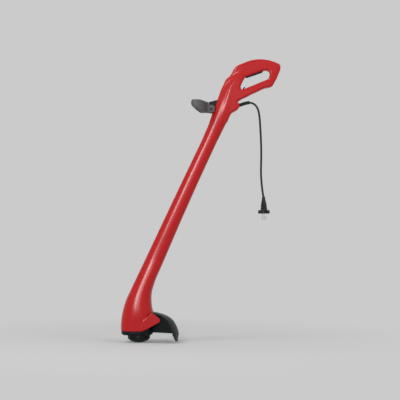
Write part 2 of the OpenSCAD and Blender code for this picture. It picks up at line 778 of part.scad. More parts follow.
module cable_sleeve() {
    path = in_plane(SLEEVE_ROUTE);
    radii = [5.45, 5.35, 5.25, 5.1, 5];
    color("black") placed() {
        loft([for (i = [0:len(path) - 1]) tube_ring(path, i, radii[i], [0, 1, 0], 12)]);
        cable_axis() translate([0, 0, -5]) cylinder(h = 6, r = 7.4, $fn = FINE);
    }
}

module power_cord() {
    color("black") placed() tube(in_plane(CORD_ROUTE), cord_d / 2);
}

module plug_body() {
    color("black") placed() translate(PLUG) rotate([0, 0, PLUG_TURN]) {
        difference() {
            translate([0, 0, pin_len]) cylinder(h = 11, r = 18.5, $fn = SMOOTH);
            for (s = [-1, 1]) translate([s * 18.5, 0, pin_len - 1]) cylinder(h = 13, r = 3, $fn = FINE);
        }
        hull() {
            for (s = [-1, 1]) translate([0, s * 6, pin_len + 10]) cylinder(h = 2, r = 9, $fn = 32);
            for (s = [-1, 1]) translate([0, s * 4, pin_len + 30]) cylinder(h = 2, r = 8, $fn = 32);
            translate([-1, 0, 62]) cylinder(h = 2, r = 5.2, $fn = 32);
        }
        hull() {
            translate([-1, 0, 62]) cylinder(h = 2, r = 5.2, $fn = 32);
            translate([-1.5, 0, 73]) cylinder(h = 1, r = 4.2, $fn = 32);
        }
    }
}

module plug_pins() {
    color("silver") placed() translate(PLUG) rotate([0, 0, PLUG_TURN])
        for (s = [-1, 1]) translate([0, s * PIN_SPACING / 2, 0])
            cylinder(h = pin_len, r = pin_d / 2, $fn = SMOOTH);
}

left_housing();
right_housing();
housing_screws();
stator_core();
field_coils();
lower_bracket();
upper_bracket();
motor_screws();
lower_bearing();
upper_bush();
brush_holders();
carbon_brushes();
brush_springs();
motor_shaft();
armature_core();
armature_windings();
commutator();
cooling_fan();
spool_housing();
spool_cover();
drive_nut();
line_eyelets();
cutting_line();
spool_spring();
spring_washer();
line_reel();
wound_line();
guard();
guard_screws();
line_cutter();
cutter_screw();
handle_bracket();
handle_bolt();
front_handle();
clamp_knob();
trigger();
trigger_pin();
trigger_spring();
switch_body();
switch_plunger();
motor_lead_brown();
motor_lead_blue();
capacitor();
terminal_block();
mains_lead();
cable_clamp();
clamp_screws();
cord_hook();
cable_sleeve();
power_cord();
plug_body();
plug_pins();
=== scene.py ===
import json
import math

import bmesh
import bpy
import numpy as np
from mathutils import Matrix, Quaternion, Vector


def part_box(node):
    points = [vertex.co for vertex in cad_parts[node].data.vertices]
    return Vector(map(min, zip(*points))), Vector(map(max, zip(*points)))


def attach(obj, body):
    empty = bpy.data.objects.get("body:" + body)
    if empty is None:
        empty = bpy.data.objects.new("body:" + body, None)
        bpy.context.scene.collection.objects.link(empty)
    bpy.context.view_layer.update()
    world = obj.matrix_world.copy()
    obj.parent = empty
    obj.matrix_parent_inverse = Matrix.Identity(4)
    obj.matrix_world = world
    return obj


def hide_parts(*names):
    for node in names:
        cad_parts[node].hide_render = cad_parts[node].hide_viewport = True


# Corded string trimmer. Shapes are written in millimetres from the ground point under the
# spool's axis (X to the operator, Y to the operator's right, Z up) and turned into the
# frame's metres by metres(). Moulded shells are distance fields, meshed by net().

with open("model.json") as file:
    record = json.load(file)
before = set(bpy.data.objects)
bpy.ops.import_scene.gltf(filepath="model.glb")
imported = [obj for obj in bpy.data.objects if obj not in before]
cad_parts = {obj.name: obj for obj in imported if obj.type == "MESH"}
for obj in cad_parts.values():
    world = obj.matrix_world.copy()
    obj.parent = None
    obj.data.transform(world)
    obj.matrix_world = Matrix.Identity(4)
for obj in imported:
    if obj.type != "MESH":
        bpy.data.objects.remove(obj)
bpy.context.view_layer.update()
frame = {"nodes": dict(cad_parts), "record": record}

MM = 0.001
reel_lo, reel_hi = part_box("line_reel")
GROUND = np.array([(reel_lo.x + reel_hi.x) / 2, (reel_lo.y + reel_hi.y) / 2, reel_lo.z])


def metres(points):
    return np.asarray(points, float) * MM + GROUND


def middle(node):
    """A CAD node's centre, in millimetres from the ground point."""
    lo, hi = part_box(node)
    return (np.array((lo + hi) / 2) - GROUND) / MM


# ------------------------------------------------------------------ materials


def material(name, colour, rough, metal=0.0, specular=0.5, mottle=0.06, cloud=90.0,
             grain=2600.0, bump=0.12, depth=0.00008, streak=(1, 1, 1), edge=None):
    """Moulded or machined surface: clouded colour, uneven gloss, fine grain, lighter worn edges."""
    m = bpy.data.materials.new(name)
    m.use_nodes = True
    nodes, link = m.node_tree.nodes, m.node_tree.links.new
    shader = nodes["Principled BSDF"]
    coord = nodes.new("ShaderNodeTexCoord")
    stretch = nodes.new("ShaderNodeMapping")
    stretch.inputs["Scale"].default_value = streak
    link(coord.outputs["Object"], stretch.inputs["Vector"])

    def noise(scale, detail):
        n = nodes.new("ShaderNodeTexNoise")
        n.inputs["Scale"].default_value = scale
        n.inputs["Detail"].default_value = detail
        link(stretch.outputs["Vector"], n.inputs["Vector"])
        return n.outputs["Fac"]

    broad, fine = noise(cloud, 4.0), noise(grain, 3.0)
    ramp = nodes.new("ShaderNodeValToRGB")
    ramp.color_ramp.elements[0].position = 0.3
    ramp.color_ramp.elements[1].position = 0.7
    ramp.color_ramp.elements[0].color = (*[c * (1 - mottle) for c in colour], 1)
    ramp.color_ramp.elements[1].color = (*[min(1, c * (1 + mottle)) for c in colour], 1)
    link(broad, ramp.inputs["Fac"])
    out = ramp.outputs["Color"]
    if edge:
        geometry = nodes.new("ShaderNodeNewGeometry")
        worn = nodes.new("ShaderNodeMapRange")
        worn.inputs["From Min"].default_value = 0.53
        worn.inputs["From Max"].default_value = 0.62
        worn.inputs["To Max"].default_value = 0.6
        link(geometry.outputs["Pointiness"], worn.inputs["Value"])
        mix = nodes.new("ShaderNodeMix")
        mix.data_type = "RGBA"
        mix.inputs[7].default_value = (*edge, 1)
        link(worn.outputs["Result"], mix.inputs[0])
        link(out, mix.inputs[6])
        out = mix.outputs[2]
    link(out, shader.inputs["Base Color"])
    gloss = nodes.new("ShaderNodeMapRange")
    gloss.inputs["To Min"].default_value = rough * 0.85
    gloss.inputs["To Max"].default_value = min(1, rough * 1.18)
    link(broad, gloss.inputs["Value"])
    link(gloss.outputs["Result"], shader.inputs["Roughness"])
    relief = nodes.new("ShaderNodeBump")
    relief.inputs["Strength"].default_value = bump
    relief.inputs["Distance"].default_value = depth
    link(fine, relief.inputs["Height"])
    link(relief.outputs["Normal"], shader.inputs["Normal"])
    shader.inputs["Metallic"].default_value = metal
    shader.inputs["Specular IOR Level"].default_value = specular
    return m


MATERIALS = {
    "red_plastic": material("red_plastic", (0.40, 0.0035, 0.005), 0.24, specular=0.34, mottle=0.03,
                            bump=0.01, depth=0.000005, cloud=40.0),
    "grey_plastic": material("grey_plastic", (0.075, 0.074, 0.080), 0.5, mottle=0.05, grain=3600.0,
                             bump=0.45, edge=(0.12, 0.12, 0.125)),
    "black_plastic": material("black_plastic", (0.004, 0.006, 0.0065), 0.4, specular=0.16,
                              mottle=0.12, grain=3200.0, bump=0.3, depth=0.00004,
                              edge=(0.014, 0.016, 0.017)),
    "steel": material("steel", (0.62, 0.62, 0.60), 0.28, metal=1.0, mottle=0.05, streak=(1, 1, 6),
                      bump=0.1),
    "black_steel": material("black_steel", (0.012, 0.012, 0.013), 0.5, specular=0.25, mottle=0.1,
                            edge=(0.04, 0.04, 0.04)),
    "lamination": material("lamination", (0.25, 0.25, 0.27), 0.45, metal=0.9, mottle=0.15,
                           streak=(0.05, 0.05, 1), cloud=1800.0, bump=0.5),
    "copper": material("copper", (0.66, 0.27, 0.10), 0.3, metal=0.8, mottle=0.15,
                       streak=(1, 1, 0.1), cloud=900.0, bump=0.4),
    "bronze": material("bronze", (0.55, 0.37, 0.17), 0.4, metal=1.0, mottle=0.12, bump=0.3),
    "die_cast": material("die_cast", (0.55, 0.56, 0.57), 0.45, metal=1.0, mottle=0.08, bump=0.4),
    "carbon": material("carbon", (0.03, 0.03, 0.032), 0.5, metal=0.2, mottle=0.2, bump=0.3),
    "worn_black_plastic": material("worn_black_plastic", (0.016, 0.017, 0.018), 0.4, mottle=0.2,
                               bump=0.5, edge=(0.05, 0.05, 0.05)),
    "line_nylon": material("line_nylon", (0.02, 0.021, 0.02), 0.3, mottle=0.06, bump=0.1),
    "white_plastic": material("white_plastic", (0.75, 0.75, 0.72), 0.4, mottle=0.04),
    "capacitor_film": material("capacitor_film", (0.7, 0.58, 0.2), 0.3, mottle=0.06),
    "lead_brown": material("lead_brown", (0.16, 0.06, 0.025), 0.5, mottle=0.08, bump=0.2),
    "lead_blue": material("lead_blue", (0.025, 0.1, 0.45), 0.5, mottle=0.08, bump=0.2),
    "cord_rubber": material("cord_rubber", (0.005, 0.007, 0.0065), 0.45, specular=0.3, mottle=0.1,
                            grain=2200.0, bump=0.3, depth=0.00004),
    "plug_brass": material("plug_brass", (0.72, 0.70, 0.66), 0.2, metal=1.0, mottle=0.04,
                           streak=(1, 1, 8)),
}

# ------------------------------------------------------------------ meshes


def place(obj, body, replaces=()):
    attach(obj, body)
    if replaces:
        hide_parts(*replaces)
    return obj


def piece(name, verts, faces, slot):
    """A smooth-shaded object from points in millimetres."""
    mesh = bpy.data.meshes.new(name)
    mesh.from_pydata(metres(verts).tolist(), [], [tuple(map(int, f)) for f in faces])
    mesh.validate()
    mesh.polygons.foreach_set("use_smooth", [True] * len(mesh.polygons))
    mesh.materials.append(MATERIALS[slot])
    mesh.update()
    obj = bpy.data.objects.new(name, mesh)
    bpy.context.scene.collection.objects.link(obj)
    return obj


def mark_sharp(obj, degrees=32):
    bm = bmesh.new()
    bm.from_mesh(obj.data)
    limit = math.radians(degrees)
    for e in bm.edges:
        e.smooth = len(e.link_faces) == 2 and e.calc_face_angle() < limit
    bm.to_mesh(obj.data)
    bm.free()


def settle(obj):
    """Applies the object's modifiers to its mesh."""
    bpy.context.view_layer.update()
    depsgraph = bpy.context.evaluated_depsgraph_get()
    obj.data = bpy.data.meshes.new_from_object(obj.evaluated_get(depsgraph))
    obj.modifiers.clear()


def sweep(name, path, radii, slot, sides=24, ref=(0, 1, 0)):
    """A closed tube along a path of points, with a radius for each."""
    path, radii = np.asarray(path, float), np.broadcast_to(radii, len(path))
    along = np.gradient(path, axis=0)
    along /= np.linalg.norm(along, axis=1)[:, None]
    u = np.cross(ref, along)
    u /= np.linalg.norm(u, axis=1)[:, None]
    v = np.cross(along, u)
    t = 2 * np.pi * np.arange(sides) / sides
    ring = np.cos(t)[None, :, None] * u[:, None] + np.sin(t)[None, :, None] * v[:, None]
    verts = (path[:, None] + ring * radii[:, None, None]).reshape(-1, 3)
    verts = np.vstack([verts, path[0], path[-1]])
    n, last = len(path), len(path) * sides
    faces = []
    for i in range(n - 1):
        for k in range(sides):
            a, b = i * sides + k, i * sides + (k + 1) % sides
            faces.append((a, b, b + sides, a + sides))
    for k in range(sides):
        a, b = k, (k + 1) % sides
        faces.append((b, a, last))
        faces.append(((n - 1) * sides + a, (n - 1) * sides + b, last + 1))
    return piece(name, verts, faces, slot)


def lathe(name, profile, slot, sides=96, ripple=None):
    """A closed profile of (radius, height) turned round the spool's axis.

    ripple(angle, r, z) adds to the radius."""
    profile = np.asarray(profile, float)
    t = 2 * np.pi * np.arange(sides) / sides
    r = np.repeat(profile[:, 0][:, None], sides, 1)
    z = np.repeat(profile[:, 1][:, None], sides, 1)
    if ripple:
        r = r + ripple(t[None, :], r, z)
    verts = np.stack([r * np.cos(t), r * np.sin(t), z], 2).reshape(-1, 3)
    n = len(profile)
    faces = []
    for i in range(n):
        for k in range(sides):
            a, b = i * sides + k, i * sides + (k + 1) % sides
            c = ((i + 1) % n) * sides
            faces.append((a, b, c + (k + 1) % sides, c + k))
    return piece(name, verts, faces, slot)


def soften(points, sigma, closed):
    """Gaussian smoothing of evenly spaced points; sigma is in points."""
    if sigma <= 0:
        return points
    reach = int(3 * sigma) + 1
    weight = np.exp(-0.5 * (np.arange(-reach, reach + 1) / sigma) ** 2)
    weight /= weight.sum()
    if closed:
        p = np.pad(points, ((reach, reach), (0, 0)), mode="wrap")
    else:
        p = np.pad(points, ((reach, reach), (0, 0)), mode="reflect", reflect_type="odd")
    return np.stack([np.convolve(p[:, c], weight, "valid") for c in range(p.shape[1])], 1)


def resample(points, step, closed=False):
    p = np.asarray(points, float)
    if closed:
        p = np.vstack([p, p[:1]])
    s = np.concatenate([[0], np.cumsum(np.linalg.norm(np.diff(p, axis=0), axis=1))])
    t = np.linspace(0, s[-1], max(4, int(round(s[-1] / step))) + 1)
    q = np.stack([np.interp(t, s, p[:, k]) for k in range(p.shape[1])], 1)
    return q[:-1] if closed else q


class Outline:
    """Distance to a closed outline, negative inside, or to an open line."""

    CELL = 1.0

    def __init__(self, points, sigma=2.0, closed=True, margin=30.0, step=1.5):
        p = soften(resample(points, step, closed), sigma / step, closed)
        ends = np.roll(p, -1, 0) if closed else p[1:]
        starts = p if closed else p[:-1]
        self.lo = p.min(0) - margin
        count = np.ceil((p.max(0) + margin - self.lo) / self.CELL).astype(int) + 1
        u, v = np.meshgrid(*[self.lo[k] + self.CELL * np.arange(count[k]) for k in (0, 1)],
                           indexing="ij")
        best, inside = np.full(u.shape, 1e9), np.zeros(u.shape, bool)
        for (au, av), (bu, bv) in zip(starts, ends):
            du, dv = bu - au, bv - av
            t = np.clip(((u - au) * du + (v - av) * dv) / (du * du + dv * dv), 0, 1)
            best = np.minimum(best, (u - au - t * du) ** 2 + (v - av - t * dv) ** 2)
            if closed and av != bv:
                inside ^= ((av > v) != (bv > v)) & (u < du * (v - av) / dv + au)
        self.d = np.where(inside, -1, 1) * np.sqrt(best)

    def __call__(self, u, v):
        a, b = (u - self.lo[0]) / self.CELL, (v - self.lo[1]) / self.CELL
        ac = np.clip(a, 0, self.d.shape[0] - 1.001)
        bc = np.clip(b, 0, self.d.shape[1] - 1.001)
        i, j = ac.astype(int), bc.astype(int)
        s, t = ac - i, bc - j
        d = self.d
        near = ((1 - s) * ((1 - t) * d[i, j] + t * d[i, j + 1])
                + s * ((1 - t) * d[i + 1, j] + t * d[i + 1, j + 1]))
        return near + np.hypot(a - ac, b - bc) * self.CELL


def join(a, b, k):
    """Both shapes, blended over k."""
    h = np.maximum(k - np.abs(a - b), 0) / k
    return np.minimum(a, b) - h * h * k / 4


def meet(a, b, k):
    return -join(-a, -b, k)


def edged(a, b, r):
    """Where two shapes overlap, with an edge of radius r."""
    p, q = a + r, b + r
    return np.minimum(np.maximum(p, q), 0) + np.hypot(np.maximum(p, 0), np.maximum(q, 0)) - r


def rod(x, z, cx, cz, r):
    return np.hypot(x - cx, z - cz) - r


def steps(lo, hi, step):
    return np.linspace(lo, hi, max(2, int(round((hi - lo) / step))) + 1)


CORNERS = [(a, b, c) for a in (0, 1) for b in (0, 1) for c in (0, 1)]


def net(field_of, xs, ys, zs, even=3):
    """The zero surface of a distance field as quads: one point for each crossed cell."""
    field = np.empty((len(xs), len(ys), len(zs)), np.float32)
    for i in range(0, len(xs), 16):
        field[i:i + 16] = field_of(*np.meshgrid(xs[i:i + 16], ys, zs, indexing="ij"))
    inside = field < 0
    cut = [slice(0, -1), slice(1, None)]
    count = sum(inside[cut[a], cut[b], cut[c]].astype(np.int8) for a, b, c in CORNERS)
    mixed = (count > 0) & (count < 8)
    index = np.full(mixed.shape, -1, np.int64)
    index[mixed] = np.arange(mixed.sum())
    cells = np.argwhere(mixed)
    total, hits = np.zeros((len(cells), 3)), np.zeros(len(cells))
    axes = (xs, ys, zs)
    for corner in CORNERS:
        for axis in range(3):
            if corner[axis]:
                continue
            p = cells + corner
            q = p.copy()
            q[:, axis] += 1
            fp, fq = field[tuple(p.T)], field[tuple(q.T)]
            crossed = (fp < 0) != (fq < 0)
            t = fp[crossed] / (fp[crossed] - fq[crossed])
            at = np.stack([axes[k][p[crossed, k]] for k in range(3)], 1)
            at[:, axis] += t * (axes[axis][q[crossed, axis]] - at[:, axis])
            total[crossed] += at
            hits[crossed] += 1
    verts = total / hits[:, None]
    quads = []
    for axis in range(3):
        u, v = (axis + 1) % 3, (axis + 2) % 3
        low = [slice(None)] * 3
        high = [slice(None)] * 3
        low[axis], high[axis] = slice(0, -1), slice(1, None)
        changes = inside[tuple(low)] != inside[tuple(high)]
        at = np.argwhere(changes)
        at = at[(at[:, u] > 0) & (at[:, v] > 0)
                & (at[:, u] < mixed.shape[u]) & (at[:, v] < mixed.shape[v])]
        ring = []
        for du, dv in ((1, 1), (0, 1), (0, 0), (1, 0)):
            c = at.copy()
            c[:, u] -= du
            c[:, v] -= dv
            ring.append(index[tuple(c.T)])
        quad = np.stack(ring, 1)
        flip = ~inside[tuple(at.T)]
        quad[flip] = quad[flip][:, ::-1]
        quads.append(quad)
    quads = np.vstack(quads)
    for _ in range(even):
        verts = pull(field_of, verts)
        total, hits = np.zeros_like(verts), np.zeros(len(verts))
        for k in range(4):
            a, b = quads[:, k], quads[:, (k + 1) % 4]
            for c in range(3):
                total[:, c] += (np.bincount(a, verts[b, c], len(verts))
                                + np.bincount(b, verts[a, c], len(verts)))
            hits += np.bincount(a, minlength=len(verts)) + np.bincount(b, minlength=len(verts))
        verts = verts * 0.5 + 0.5 * total / hits[:, None]
    return pull(field_of, pull(field_of, verts)), quads


def slope_at(field_of, v, h=0.06):
    slope = np.empty_like(v)
    for k in range(3):
        a, b = v.copy(), v.copy()
        a[:, k] += h
        b[:, k] -= h
        slope[:, k] = (field_of(*a.T) - field_of(*b.T)) / (2 * h)
    return slope


def pull(field_of, v, h=0.06, reach=0.6):
    """Moves points onto the surface along the field's slope."""
    d, slope = field_of(*v.T), slope_at(field_of, v, h)
    size = np.maximum((slope ** 2).sum(1), 0.25)
    return v - slope * (np.clip(d, -reach, reach) / size)[:, None]


def cutter(solids):
    """One mesh of boxes ("box", lo, hi) and cylinders ("rod", start, end, r), for carve()."""
    bm = bmesh.new()
    for kind, a, b, *rest in solids:
        a, b = Vector(metres(a)), Vector(metres(b))
        if kind == "box":
            made = bmesh.ops.create_cube(bm, size=1.0)["verts"]
            bmesh.ops.scale(bm, vec=b - a, verts=made)
            bmesh.ops.translate(bm, vec=(a + b) / 2, verts=made)
        else:
            r = rest[0] * MM
            made = bmesh.ops.create_cone(bm, cap_ends=True, segments=40, radius1=r, radius2=r,
                                         depth=(b - a).length)["verts"]
            turn = (b - a).to_track_quat("Z", "Y").to_matrix()
            bmesh.ops.rotate(bm, matrix=turn, verts=made)
            bmesh.ops.translate(bm, vec=(a + b) / 2, verts=made)
    mesh = bpy.data.meshes.new("cutter")
    bm.to_mesh(mesh)
    bm.free()
    obj = bpy.data.objects.new("cutter", mesh)
    bpy.context.scene.collection.objects.link(obj)
    return obj


def carve(obj, *groups):
    tools = [cutter(g) for g in groups]
    for t in tools:
        m = obj.modifiers.new("carve", "BOOLEAN")
        m.operation, m.solver, m.object = "DIFFERENCE", "EXACT", t
    settle(obj)
    for t in tools:
        bpy.data.objects.remove(t)
    mark_sharp(obj)


def true_normals(obj, field_of, side=1, most=25, reach=0.8):
    """Shades faces that follow the field by the field's slope, so that highlights run clean."""
    mesh = obj.data
    v = (read(mesh.vertices, "co", 3) - GROUND) / MM * (1, side, 1)
    n = slope_at(field_of, v, reach)
    n = n / np.maximum(np.linalg.norm(n, axis=1), 1e-9)[:, None] * (1, side, 1)
    corner_vert = read(mesh.loops, "vertex_index", 1, np.int64)[:, 0]
    flat = read(mesh.polygons, "normal", 3)
    corners = read(mesh.polygons, "loop_total", 1, np.int64)[:, 0]
    face_of = np.repeat(np.arange(len(mesh.polygons)), corners)
    normals = read(mesh.corner_normals, "vector", 3)
    follows = (n[corner_vert] * flat[face_of]).sum(1) > math.cos(math.radians(most))
    normals[follows] = n[corner_vert][follows]
    mesh.normals_split_custom_set(normals)


def read(items, key, width, kind=np.float32):
    values = np.empty(len(items) * width, kind)
    items.foreach_get(key, values)
    return values.reshape(-1, width)


def moulding(name, field, xs, ys, zs, body, slot, node):
    """A distance field's surface as a piece that stands for one CAD node."""
    verts, faces = net(field, xs, ys, zs)
    return place(piece(name, verts, faces, slot), body, [node])


# ------------------------------------------------------------------ camera

IMAGE_WIDTH = 1.28          # metres across the picture at the object
CAMERA_AWAY = 4.8
AIM = metres((195.5, 0, 454.4))

camera_data = bpy.data.cameras.new("camera")
camera = bpy.data.objects.new("camera", camera_data)
bpy.context.scene.collection.objects.link(camera)
bpy.context.scene.camera = camera
camera.location = AIM - np.array([0, CAMERA_AWAY, 0])
camera.rotation_euler = (math.pi / 2, 0, 0)
camera_data.sensor_width = 36.0
camera_data.lens = camera_data.sensor_width * CAMERA_AWAY / IMAGE_WIDTH
camera_data.clip_end = 100.0

# ------------------------------------------------------------------ cord

CORD_D = 6.4
CORD_ROUTE = [
    (354, 766), (363, 764.5), (371, 760), (377, 753), (381, 745), (383.5, 736), (385.5, 724),
    (387, 710), (388, 694), (389, 676), (390, 656), (391, 634), (391.5, 612), (391.5, 590),
    (391, 568), (390.5, 548), (391, 528), (392.5, 508), (394.5, 490), (396.5, 475), (398, 466),
]
SLEEVE_ROUTE = [(316, 755.5), (325, 758.5), (335, 762), (345, 764.8), (354, 766)]
PLUG_TIP = 392.0
PLUG_TURN = math.radians(24)


def in_plane(route):
    return np.array([(x, 0.0, z) for x, z in route], float)


def rounded(route, step, sigma):
    """The route through every 'step' millimetres, its corners eased."""
    return soften(resample(route, step), sigma / step, False)


route = rounded(in_plane(CORD_ROUTE), 2.5, 5.0)
cord_curve = bpy.data.curves.new("power_cord_flex", "CURVE")
cord_curve.dimensions = "3D"
cord_curve.bevel_depth = CORD_D / 2 * MM
cord_curve.bevel_resolution = 6
cord_curve.use_fill_caps = True
line = cord_curve.splines.new("POLY")
line.points.add(len(route) - 1)
for point, at in zip(line.points, metres(route)):
    point.co = (*at, 1)
line.use_smooth = True
cord_curve.materials.append(MATERIALS["cord_rubber"])
cord = bpy.data.objects.new("power_cord_flex", cord_curve)
bpy.context.scene.collection.objects.link(cord)
place(cord, "housing", ["power_cord"])

# strain relief: ribbed, tapered, with its flange in the housing
SLEEVE_R = (5.75, 5.5)
sleeve_path = rounded(in_plane(SLEEVE_ROUTE), 0.5, 3.0)
share = np.linspace(0, 1, len(sleeve_path))
sleeve_r = SLEEVE_R[0] + (SLEEVE_R[1] - SLEEVE_R[0]) * share
rib = 0.5 * (1 + np.cos(2 * np.pi * share * 7))
sleeve_r = sleeve_r - 0.5 * np.clip(rib * 1.6 - 0.5, 0, 1) * (share > 0.12) * (share < 0.93)
sleeve = sweep("strain_relief_sleeve", sleeve_path, sleeve_r, "cord_rubber", sides=40)
axis = sleeve_path[1] - sleeve_path[0]
axis /= np.linalg.norm(axis)
collar_r = [7.0, 7.4, 7.4, 7.0]
collar = sweep("strain_relief_collar", [sleeve_path[0] + axis * t for t in (-5, -4.6, 0.6, 1)],
               collar_r, "cord_rubber", sides=40)
place(sleeve, "housing", ["cable_sleeve"])
place(collar, "housing", ["cable_sleeve"])

# plug: round flange with two notches, ribbed body, two pins
PLUG_X = 400.0
FLANGE_R = 18.5
PIN_APART = 9.5             # each pin from the plug's middle


def plug_field(x, y, z):
    turn_c, turn_s = math.cos(PLUG_TURN), math.sin(PLUG_TURN)
    u = (x - PLUG_X) * turn_c + y * turn_s
    v = -(x - PLUG_X) * turn_s + y * turn_c
    w = z - PLUG_TIP
    flange = edged(np.hypot(u, v) - FLANGE_R, np.abs(w - 24.5) - 5.5, 1.6)
    flange = edged(flange, 3 - np.hypot(np.abs(u) - FLANGE_R, v), 0.6)
    lean = -1.5 * np.clip((w - 30) / 44, 0, 1)
    wide = np.interp(w, [28, 34, 50, 62, 74], [15, 14.2, 11.5, 7.0, 4.3])
    thin = np.interp(w, [28, 34, 50, 62, 74], [9.2, 9.0, 8.0, 5.6, 4.3])
    ribs = 0.55 * np.clip(np.cos(2 * np.pi * (w - 36) / 5.0) * 1.5, -1, 1) * (w > 34) * (w < 58)
    ribs = ribs * np.clip(np.abs(u) / 7, 0, 1)
    body = (np.hypot((u - lean) / thin, v / wide) - 1) * thin * 0.9 - ribs
    body = edged(body, np.abs(w - 50.5) - 23.5, 0.8)
    return join(flange, body, 2.5)


plug = moulding("plug_moulding", plug_field, steps(379, 421, 0.8), steps(-21, 21, 0.8),
                steps(409, 468, 0.8), "housing", "cord_rubber", "plug_body")
PIN = [(0, 0), (1.3, 0.15), (2.1, 0.7), (2.4, 1.6), (2.4, 9), (2.4, 19), (0, 19)]
for side, letter in ((-1, "a"), (1, "b")):
    pin_at = np.array([PLUG_X - side * PIN_APART * math.sin(PLUG_TURN),
                       side * PIN_APART * math.cos(PLUG_TURN), PLUG_TIP])
    pin_path = [pin_at + (0, 0, h) for _, h in PIN[1:-1]]
    pin = sweep("plug_pin_" + letter, pin_path, [r for r, _ in PIN[1:-1]], "plug_brass", sides=32)
    mark_sharp(pin, 50)
    place(pin, "housing", ["plug_pins"])

# ------------------------------------------------------------------ housing

WALL = 3.0
GRIP_HALF_W = 17.0
FRONT = [
    (37, -57), (56, -58), (80, -55.5), (101, -51.5), (133, -42.5), (165, -27.5), (261, 18.5),
    (389, 79), (517, 139.5), (645, 201), (709, 228.5), (773, 251.5), (824, 271.5), (846, 289),
]
REAR = [
    (37, 46), (80, 46.5), (101, 45.5), (116, 41.5), (144, 40), (165, 42.5), (197, 52.5),
    (261, 80.5), (389, 135.5), (517, 192.5), (613, 237), (645, 252), (709, 284), (745, 302),
    (790, 318), (824, 322), (846, 334),
]
HALF_W = [
    (37, 44), (80, 46), (101, 45.4), (133, 41.6), (165, 37), (197, 32.6), (229, 28.3), (261, 24.8),
    (300, 23.4), (389, 22.5), (581, 20), (709, 19.5), (773, 18.5), (846, 16.5),
]
LOOP = [
    (225, 700), (234, 728), (251, 773), (262, 805), (271, 824), (276, 836), (281, 843),
    (290, 850), (297, 859), (302, 870), (309, 879.5), (318, 885.5), (333, 891.5), (349, 898),
    (362, 901.5), (380, 904), (395, 904), (416, 901), (436, 894.5), (450, 888.5), (453, 882),
    (452, 870), (446, 856), (441, 843), (436, 834), (427, 818), (419, 814), (402, 811),
    (388, 805), (374, 798), (360, 792), (350, 786), (334, 779), (323, 773), (314, 766),
    (322, 763), (322, 753), (317, 744), (308, 738), (299, 733.5), (293, 728), (290, 722),
    (285, 709), (281, 700),
]
OPENING = [
    (330, 806), (349, 814), (374, 824), (396, 833.5), (413, 840), (415.5, 846), (418, 853),
    (418, 861), (412.5, 867), (402, 868), (396, 866.5), (341, 847.5), (335, 838.5), (331, 831),
    (327, 822), (325, 816), (326.5, 809),
]
WING = [
    (6, 41), (18, 40.5), (30, 46), (46, 55), (66.5, 66), (69, 70), (68, 77), (44, 96.5), (14, 70),
]
REAR_EDGE = [(-80, 37.2), (8, 37.2), (18, 39.5), (30, 45), (46, 54), (80, 72)]
SHOULDER = [
    (680, 244), (740, 264), (770, 273), (796, 280.5), (806, 283.5), (816, 287), (826, 292),
    (836, 299.5), (846, 305), (866, 322),
]


def profile(table, sigma):
    """A design table as a smooth lookup of height."""
    levels = np.arange(20.0, 880.0, 2.0)
    z, v = zip(*table)
    z = (z[0] - 60, *z, z[-1] + 60)
    v = (v[0], *v, v[-1] + (v[-1] - v[-2]) / (z[-2] - z[-3]) * 60)
    smooth = soften(np.interp(levels, z, v)[:, None], sigma / 2.0, False)[:, 0]
    return lambda at: np.interp(at, levels, smooth)


front_at, rear_at, half_at = profile(FRONT, 8.0), profile(REAR, 5.0), profile(HALF_W, 10.0)
shoulder_at = profile([(z, x) for z, x in SHOULDER], 6.0)
loop_outline, opening_outline = Outline(LOOP, 2.2, step=0.8), Outline(OPENING, 1.8, step=0.8)
wing_outline = Outline(WING, 1.4)
POWER = 2.6                 # of the shaft's superellipse
SHOULDER_RAMP, PROUD, SUNK = 10.0, 2.7, 5.0


def superellipse(x, y, mid, a, b):
    u, v = np.abs(x - mid) / a, np.abs(y) / b
    r = np.maximum((u ** POWER + v ** POWER) ** (1 / POWER), 1e-3)
    slope = np.hypot((u / r) ** (POWER - 1) / a, (v / r) ** (POWER - 1) / b)
    return (r - 1) / np.maximum(slope, 1e-4)


def shaft_form(x, y, z):
    f, r = front_at(z), rear_at(z)
    d = superellipse(x, y, (f + r) / 2, (r - f) / 2, half_at(z))
    return edged(d, z - 862, 12.0)


def raised(x, z):
    """The web stands proud of the shaft behind the shoulder line and sinks into it before."""
    t = np.clip((x - shoulder_at(z)) / SHOULDER_RAMP, 0, 1)
    ahead = np.clip((shoulder_at(z) - x) / SHOULDER_RAMP, 0, 1)
    low = np.clip((z - 700) / 60, 0, 1)
    top = np.clip((872 - z) / 44, 0, 1)
    height = PROUD * (1 - (1 - t) ** 2) * low - SUNK * ahead * ahead * (3 - 2 * ahead)
    return height * top * top * (3 - 2 * top)


def loop_form(x, y, z):
    d = np.maximum(loop_outline(x, z), -opening_outline(x, z))
    return edged(d, np.abs(y) - GRIP_HALF_W, 7.0)


def outer_form(x, y, z):
    proud = np.maximum(np.abs(y) - raised(x, z) * np.clip(np.abs(y) / 10, 0, 1), 0)
    return join(shaft_form(x, y, z), loop_form(x, proud, z), 3.0)


PIVOT = middle("handle_bolt")[[0, 2]]
PIVOT_HOLE_R = 3.1


def at_pivot(x, z, r):
    """Distance from a rod of radius r across the tool at the front handle's pivot."""
    return rod(x, z, PIVOT[0], PIVOT[1], r)


def housing_half(x, y, z):
    form = outer_form(x, y, z)
    wing = edged(wing_outline(x, z), np.abs(np.abs(y) - 42.3) - 2.0, 1.2)
    outer = edged(join(form, wing, 2.0), np.interp(x, *zip(*REAR_EDGE)) - z, 1.0)
    scallop = np.maximum(at_pivot(x, z, 14.4), np.abs(np.abs(y) - 14.5) - 5.5)
    outer = np.maximum(outer, -scallop)
    shell = np.maximum(outer, -(form + WALL))
    return edged(shell, 0.14 - y, 0.45)


